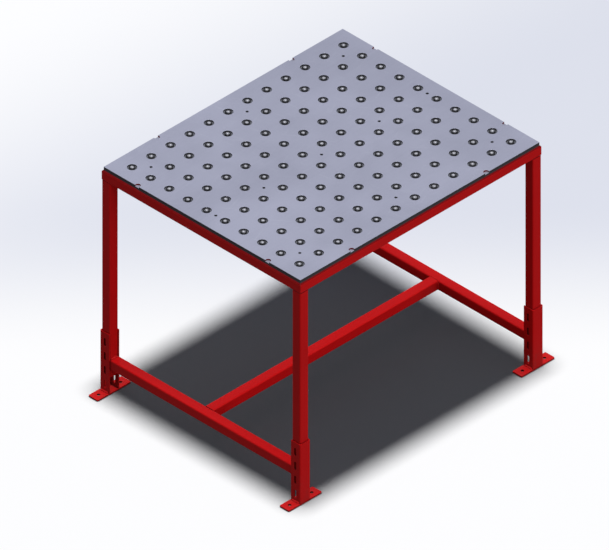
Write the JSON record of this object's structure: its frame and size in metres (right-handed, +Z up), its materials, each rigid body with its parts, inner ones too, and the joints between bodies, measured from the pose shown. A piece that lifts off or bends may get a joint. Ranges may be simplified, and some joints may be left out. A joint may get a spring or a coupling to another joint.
{
  "type": "welding table",
  "caption": "Red square-tube work table with a grey two-layer steel top, a grid of flush ball transfer units, and bolted slotted feet with floor plates.",
  "frame": {"origin": "on the floor under the middle of the table", "axes": "+X along the table's length, +Y across its width towards the back, +Z up"},
  "size_m": [1.28, 0.9646, 0.9341],
  "materials": {
    "sheet_steel": "flat grey mill-finish plate with fine rolling grain",
    "red_paint": "glossy red powder coat",
    "zinc": "bright zinc plate",
    "cup_steel": "pressed zinc-plated steel",
    "ball_steel": "polished bearing ball",
    "black_steel": "black oxide"
  },
  "bodies": {
    "table": {"top_sheet": "sheet_steel", "backing_sheet": "sheet_steel", "sheet_screws": "black_steel", "foot_bolts": "zinc", "foot_washers": "zinc", "weld_nuts": "zinc", "ball_cups": "cup_steel", "ball_caps": "black_steel", "bearing_beds": "black_steel", "front_rail": "red_paint", "back_rail": "red_paint", "left_rail": "red_paint", "right_rail": "red_paint", "front_rib": "red_paint", "middle_rib": "red_paint", "back_rib": "red_paint", "left_stretcher": "red_paint", "right_stretcher": "red_paint", "long_stretcher": "red_paint", "front_left_leg": "red_paint", "front_right_leg": "red_paint", "back_left_leg": "red_paint", "back_right_leg": "red_paint"},
    "front_left_foot": {"front_left_channel": "red_paint", "front_left_base": "red_paint"},
    "front_right_foot": {"front_right_channel": "red_paint", "front_right_base": "red_paint"},
    "back_left_foot": {"back_left_channel": "red_paint", "back_left_base": "red_paint"},
    "back_right_foot": {"back_right_channel": "red_paint", "back_right_base": "red_paint"},
    "balls_1": {"ball_row_1": "ball_steel"},
    "balls_2": {"ball_row_2": "ball_steel"},
    "balls_3": {"ball_row_3": "ball_steel"},
    "balls_4": {"ball_row_4": "ball_steel"},
    "balls_5": {"ball_row_5": "ball_steel"},
    "balls_6": {"ball_row_6": "ball_steel"},
    "balls_7": {"ball_row_7": "ball_steel"},
    "balls_8": {"ball_row_8": "ball_steel"},
    "balls_9": {"ball_row_9": "ball_steel"},
    "balls_10": {"ball_row_10": "ball_steel"}
  },
  "joints": [
    {"name": "front_left_foot_height", "type": "slide", "parent": "table", "child": "front_left_foot", "axis": [0, 0, -1], "range_m": [-0.022, 0]},
    {"name": "front_right_foot_height", "type": "slide", "parent": "table", "child": "front_right_foot", "axis": [0, 0, -1], "range_m": [-0.022, 0]},
    {"name": "back_left_foot_height", "type": "slide", "parent": "table", "child": "back_left_foot", "axis": [0, 0, -1], "range_m": [-0.022, 0]},
    {"name": "back_right_foot_height", "type": "slide", "parent": "table", "child": "back_right_foot", "axis": [0, 0, -1], "range_m": [-0.022, 0]},
    {"name": "balls_1_roll", "type": "hinge", "parent": "table", "child": "balls_1", "pos_m": [0, -0.40275, 0.92615], "axis": [1, 0, 0], "continuous": true},
    {"name": "balls_2_roll", "type": "hinge", "parent": "table", "child": "balls_2", "pos_m": [0, -0.31325, 0.92615], "axis": [1, 0, 0], "continuous": true},
    {"name": "balls_3_roll", "type": "hinge", "parent": "table", "child": "balls_3", "pos_m": [0, -0.22375, 0.92615], "axis": [1, 0, 0], "continuous": true},
    {"name": "balls_4_roll", "type": "hinge", "parent": "table", "child": "balls_4", "pos_m": [0, -0.13425, 0.92615], "axis": [1, 0, 0], "continuous": true},
    {"name": "balls_5_roll", "type": "hinge", "parent": "table", "child": "balls_5", "pos_m": [0, -0.04475, 0.92615], "axis": [1, 0, 0], "continuous": true},
    {"name": "balls_6_roll", "type": "hinge", "parent": "table", "child": "balls_6", "pos_m": [0, 0.04475, 0.92615], "axis": [1, 0, 0], "continuous": true},
    {"name": "balls_7_roll", "type": "hinge", "parent": "table", "child": "balls_7", "pos_m": [0, 0.13425, 0.92615], "axis": [1, 0, 0], "continuous": true},
    {"name": "balls_8_roll", "type": "hinge", "parent": "table", "child": "balls_8", "pos_m": [0, 0.22375, 0.92615], "axis": [1, 0, 0], "continuous": true},
    {"name": "balls_9_roll", "type": "hinge", "parent": "table", "child": "balls_9", "pos_m": [0, 0.31325, 0.92615], "axis": [1, 0, 0], "continuous": true},
    {"name": "balls_10_roll", "type": "hinge", "parent": "table", "child": "balls_10", "pos_m": [0, 0.40275, 0.92615], "axis": [1, 0, 0], "continuous": true}
  ]
}
